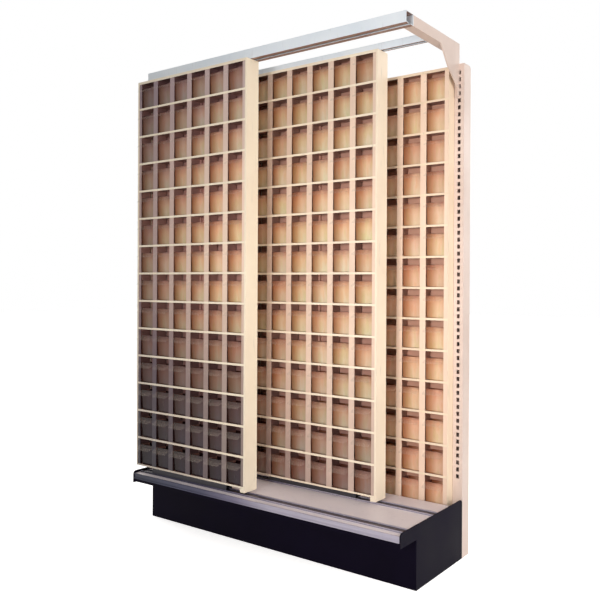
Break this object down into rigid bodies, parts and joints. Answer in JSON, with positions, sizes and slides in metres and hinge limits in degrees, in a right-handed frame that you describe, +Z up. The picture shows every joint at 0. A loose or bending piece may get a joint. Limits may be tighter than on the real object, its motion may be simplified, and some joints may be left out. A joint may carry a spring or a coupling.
{
  "type": "tip-out bin rack",
  "caption": "Free-standing display rack with two sliding half-width panels of tip-out bins in front of a fixed full-width bank of the same bins.",
  "frame": {"origin": "middle of the footprint at floor level, with the sliding panels at their places in the picture", "axes": "+Z up, +Y towards the back of the rack, +X to the right as seen from the front"},
  "size_m": [1.2714, 0.517, 1.874],
  "materials": {
    "frame": "cream powder coat",
    "rail": "off-white powder coat",
    "plinth": "satin black powder coat",
    "deck": "pale powder coat",
    "profile": "satin anodised",
    "shelf": "cream powder coat",
    "divider": "moulded, fine texture",
    "glide": "dark nylon",
    "bin": "clear smoke-brown sheet"
  },
  "bodies": {
    "rack": {"uprights": "frame", "cross_rails": "frame", "top_arms": "frame", "top_rails": "rail", "plinth": "plinth", "base_deck": "deck", "deck_profiles": "profile", "rear_frame": "frame", "rear_shelves": "shelf", "rear_dividers": "divider"},
    "front_panel": {"front_frame": "frame", "front_shelves": "shelf", "front_dividers": "divider", "front_carriage": "glide"},
    "middle_panel": {"middle_frame": "frame", "middle_shelves": "shelf", "middle_dividers": "divider", "middle_carriage": "glide"},
    "front_bins_01": {"front_bins_01": "bin"},
    "front_bins_02": {"front_bins_02": "bin"},
    "front_bins_03": {"front_bins_03": "bin"},
    "front_bins_04": {"front_bins_04": "bin"},
    "front_bins_05": {"front_bins_05": "bin"},
    "front_bins_06": {"front_bins_06": "bin"},
    "front_bins_07": {"front_bins_07": "bin"},
    "front_bins_08": {"front_bins_08": "bin"},
    "front_bins_09": {"front_bins_09": "bin"},
    "front_bins_10": {"front_bins_10": "bin"},
    "front_bins_11": {"front_bins_11": "bin"},
    "front_bins_12": {"front_bins_12": "bin"},
    "front_bins_13": {"front_bins_13": "bin"},
    "front_bins_14": {"front_bins_14": "bin"},
    "middle_bins_01": {"middle_bins_01": "bin"},
    "middle_bins_02": {"middle_bins_02": "bin"},
    "middle_bins_03": {"middle_bins_03": "bin"},
    "middle_bins_04": {"middle_bins_04": "bin"},
    "middle_bins_05": {"middle_bins_05": "bin"},
    "middle_bins_06": {"middle_bins_06": "bin"},
    "middle_bins_07": {"middle_bins_07": "bin"},
    "middle_bins_08": {"middle_bins_08": "bin"},
    "middle_bins_09": {"middle_bins_09": "bin"},
    "middle_bins_10": {"middle_bins_10": "bin"},
    "middle_bins_11": {"middle_bins_11": "bin"},
    "middle_bins_12": {"middle_bins_12": "bin"},
    "middle_bins_13": {"middle_bins_13": "bin"},
    "middle_bins_14": {"middle_bins_14": "bin"},
    "rear_bins_01": {"rear_bins_01": "bin"},
    "rear_bins_02": {"rear_bins_02": "bin"},
    "rear_bins_03": {"rear_bins_03": "bin"},
    "rear_bins_04": {"rear_bins_04": "bin"},
    "rear_bins_05": {"rear_bins_05": "bin"},
    "rear_bins_06": {"rear_bins_06": "bin"},
    "rear_bins_07": {"rear_bins_07": "bin"},
    "rear_bins_08": {"rear_bins_08": "bin"},
    "rear_bins_09": {"rear_bins_09": "bin"},
    "rear_bins_10": {"rear_bins_10": "bin"},
    "rear_bins_11": {"rear_bins_11": "bin"},
    "rear_bins_12": {"rear_bins_12": "bin"},
    "rear_bins_13": {"rear_bins_13": "bin"},
    "rear_bins_14": {"rear_bins_14": "bin"}
  },
  "joints": [
    {"name": "front_panel_slide", "type": "slide", "parent": "rack", "child": "front_panel", "axis": [1, 0, 0], "range_m": [0, 0.685]},
    {"name": "middle_panel_slide", "type": "slide", "parent": "rack", "child": "middle_panel", "axis": [1, 0, 0], "range_m": [-0.425, 0.225]},
    {"name": "front_row_01_tip", "type": "hinge", "parent": "front_panel", "child": "front_bins_01", "pos_m": [-0.3358, -0.2149, 1.7264], "axis": [1, 0, 0], "range_deg": [0, 40]},
    {"name": "front_row_02_tip", "type": "hinge", "parent": "front_panel", "child": "front_bins_02", "pos_m": [-0.3358, -0.2149, 1.6121], "axis": [1, 0, 0], "range_deg": [0, 40]},
    {"name": "front_row_03_tip", "type": "hinge", "parent": "front_panel", "child": "front_bins_03", "pos_m": [-0.3358, -0.2149, 1.4978], "axis": [1, 0, 0], "range_deg": [0, 40]},
    {"name": "front_row_04_tip", "type": "hinge", "parent": "front_panel", "child": "front_bins_04", "pos_m": [-0.3358, -0.2149, 1.3835], "axis": [1, 0, 0], "range_deg": [0, 40]},
    {"name": "front_row_05_tip", "type": "hinge", "parent": "front_panel", "child": "front_bins_05", "pos_m": [-0.3358, -0.2149, 1.2692], "axis": [1, 0, 0], "range_deg": [0, 40]},
    {"name": "front_row_06_tip", "type": "hinge", "parent": "front_panel", "child": "front_bins_06", "pos_m": [-0.3358, -0.2149, 1.1549], "axis": [1, 0, 0], "range_deg": [0, 40]},
    {"name": "front_row_07_tip", "type": "hinge", "parent": "front_panel", "child": "front_bins_07", "pos_m": [-0.3358, -0.2149, 1.0406], "axis": [1, 0, 0], "range_deg": [0, 40]},
    {"name": "front_row_08_tip", "type": "hinge", "parent": "front_panel", "child": "front_bins_08", "pos_m": [-0.3358, -0.2149, 0.9263], "axis": [1, 0, 0], "range_deg": [0, 40]},
    {"name": "front_row_09_tip", "type": "hinge", "parent": "front_panel", "child": "front_bins_09", "pos_m": [-0.3358, -0.2149, 0.812], "axis": [1, 0, 0], "range_deg": [0, 40]},
    {"name": "front_row_10_tip", "type": "hinge", "parent": "front_panel", "child": "front_bins_10", "pos_m": [-0.3358, -0.2149, 0.6977], "axis": [1, 0, 0], "range_deg": [0, 40]},
    {"name": "front_row_11_tip", "type": "hinge", "parent": "front_panel", "child": "front_bins_11", "pos_m": [-0.3358, -0.2149, 0.5834], "axis": [1, 0, 0], "range_deg": [0, 40]},
    {"name": "front_row_12_tip", "type": "hinge", "parent": "front_panel", "child": "front_bins_12", "pos_m": [-0.3358, -0.2149, 0.4691], "axis": [1, 0, 0], "range_deg": [0, 40]},
    {"name": "front_row_13_tip", "type": "hinge", "parent": "front_panel", "child": "front_bins_13", "pos_m": [-0.3358, -0.2149, 0.3548], "axis": [1, 0, 0], "range_deg": [0, 40]},
    {"name": "front_row_14_tip", "type": "hinge", "parent": "front_panel", "child": "front_bins_14", "pos_m": [-0.3358, -0.2149, 0.2405], "axis": [1, 0, 0], "range_deg": [0, 40]},
    {"name": "middle_row_01_tip", "type": "hinge", "parent": "middle_panel", "child": "middle_bins_01", "pos_m": [0.1082, -0.0149, 1.7264], "axis": [1, 0, 0], "range_deg": [0, 40]},
    {"name": "middle_row_02_tip", "type": "hinge", "parent": "middle_panel", "child": "middle_bins_02", "pos_m": [0.1082, -0.0149, 1.6121], "axis": [1, 0, 0], "range_deg": [0, 40]},
    {"name": "middle_row_03_tip", "type": "hinge", "parent": "middle_panel", "child": "middle_bins_03", "pos_m": [0.1082, -0.0149, 1.4978], "axis": [1, 0, 0], "range_deg": [0, 40]},
    {"name": "middle_row_04_tip", "type": "hinge", "parent": "middle_panel", "child": "middle_bins_04", "pos_m": [0.1082, -0.0149, 1.3835], "axis": [1, 0, 0], "range_deg": [0, 40]},
    {"name": "middle_row_05_tip", "type": "hinge", "parent": "middle_panel", "child": "middle_bins_05", "pos_m": [0.1082, -0.0149, 1.2692], "axis": [1, 0, 0], "range_deg": [0, 40]},
    {"name": "middle_row_06_tip", "type": "hinge", "parent": "middle_panel", "child": "middle_bins_06", "pos_m": [0.1082, -0.0149, 1.1549], "axis": [1, 0, 0], "range_deg": [0, 40]},
    {"name": "middle_row_07_tip", "type": "hinge", "parent": "middle_panel", "child": "middle_bins_07", "pos_m": [0.1082, -0.0149, 1.0406], "axis": [1, 0, 0], "range_deg": [0, 40]},
    {"name": "middle_row_08_tip", "type": "hinge", "parent": "middle_panel", "child": "middle_bins_08", "pos_m": [0.1082, -0.0149, 0.9263], "axis": [1, 0, 0], "range_deg": [0, 40]},
    {"name": "middle_row_09_tip", "type": "hinge", "parent": "middle_panel", "child": "middle_bins_09", "pos_m": [0.1082, -0.0149, 0.812], "axis": [1, 0, 0], "range_deg": [0, 40]},
    {"name": "middle_row_10_tip", "type": "hinge", "parent": "middle_panel", "child": "middle_bins_10", "pos_m": [0.1082, -0.0149, 0.6977], "axis": [1, 0, 0], "range_deg": [0, 40]},
    {"name": "middle_row_11_tip", "type": "hinge", "parent": "middle_panel", "child": "middle_bins_11", "pos_m": [0.1082, -0.0149, 0.5834], "axis": [1, 0, 0], "range_deg": [0, 40]},
    {"name": "middle_row_12_tip", "type": "hinge", "parent": "middle_panel", "child": "middle_bins_12", "pos_m": [0.1082, -0.0149, 0.4691], "axis": [1, 0, 0], "range_deg": [0, 40]},
    {"name": "middle_row_13_tip", "type": "hinge", "parent": "middle_panel", "child": "middle_bins_13", "pos_m": [0.1082, -0.0149, 0.3548], "axis": [1, 0, 0], "range_deg": [0, 40]},
    {"name": "middle_row_14_tip", "type": "hinge", "parent": "middle_panel", "child": "middle_bins_14", "pos_m": [0.1082, -0.0149, 0.2405], "axis": [1, 0, 0], "range_deg": [0, 40]},
    {"name": "rear_row_01_tip", "type": "hinge", "parent": "rack", "child": "rear_bins_01", "pos_m": [0.007, 0.1721, 1.6739], "axis": [1, 0, 0], "range_deg": [0, 40]},
    {"name": "rear_row_02_tip", "type": "hinge", "parent": "rack", "child": "rear_bins_02", "pos_m": [0.007, 0.1721, 1.5596], "axis": [1, 0, 0], "range_deg": [0, 40]},
    {"name": "rear_row_03_tip", "type": "hinge", "parent": "rack", "child": "rear_bins_03", "pos_m": [0.007, 0.1721, 1.4453], "axis": [1, 0, 0], "range_deg": [0, 40]},
    {"name": "rear_row_04_tip", "type": "hinge", "parent": "rack", "child": "rear_bins_04", "pos_m": [0.007, 0.1721, 1.331], "axis": [1, 0, 0], "range_deg": [0, 40]},
    {"name": "rear_row_05_tip", "type": "hinge", "parent": "rack", "child": "rear_bins_05", "pos_m": [0.007, 0.1721, 1.2167], "axis": [1, 0, 0], "range_deg": [0, 40]},
    {"name": "rear_row_06_tip", "type": "hinge", "parent": "rack", "child": "rear_bins_06", "pos_m": [0.007, 0.1721, 1.1024], "axis": [1, 0, 0], "range_deg": [0, 40]},
    {"name": "rear_row_07_tip", "type": "hinge", "parent": "rack", "child": "rear_bins_07", "pos_m": [0.007, 0.1721, 0.9881], "axis": [1, 0, 0], "range_deg": [0, 40]},
    {"name": "rear_row_08_tip", "type": "hinge", "parent": "rack", "child": "rear_bins_08", "pos_m": [0.007, 0.1721, 0.8738], "axis": [1, 0, 0], "range_deg": [0, 40]},
    {"name": "rear_row_09_tip", "type": "hinge", "parent": "rack", "child": "rear_bins_09", "pos_m": [0.007, 0.1721, 0.7595], "axis": [1, 0, 0], "range_deg": [0, 40]},
    {"name": "rear_row_10_tip", "type": "hinge", "parent": "rack", "child": "rear_bins_10", "pos_m": [0.007, 0.1721, 0.6452], "axis": [1, 0, 0], "range_deg": [0, 40]},
    {"name": "rear_row_11_tip", "type": "hinge", "parent": "rack", "child": "rear_bins_11", "pos_m": [0.007, 0.1721, 0.5309], "axis": [1, 0, 0], "range_deg": [0, 40]},
    {"name": "rear_row_12_tip", "type": "hinge", "parent": "rack", "child": "rear_bins_12", "pos_m": [0.007, 0.1721, 0.4166], "axis": [1, 0, 0], "range_deg": [0, 40]},
    {"name": "rear_row_13_tip", "type": "hinge", "parent": "rack", "child": "rear_bins_13", "pos_m": [0.007, 0.1721, 0.3023], "axis": [1, 0, 0], "range_deg": [0, 40]},
    {"name": "rear_row_14_tip", "type": "hinge", "parent": "rack", "child": "rear_bins_14", "pos_m": [0.007, 0.1721, 0.188], "axis": [1, 0, 0], "range_deg": [0, 40]}
  ]
}
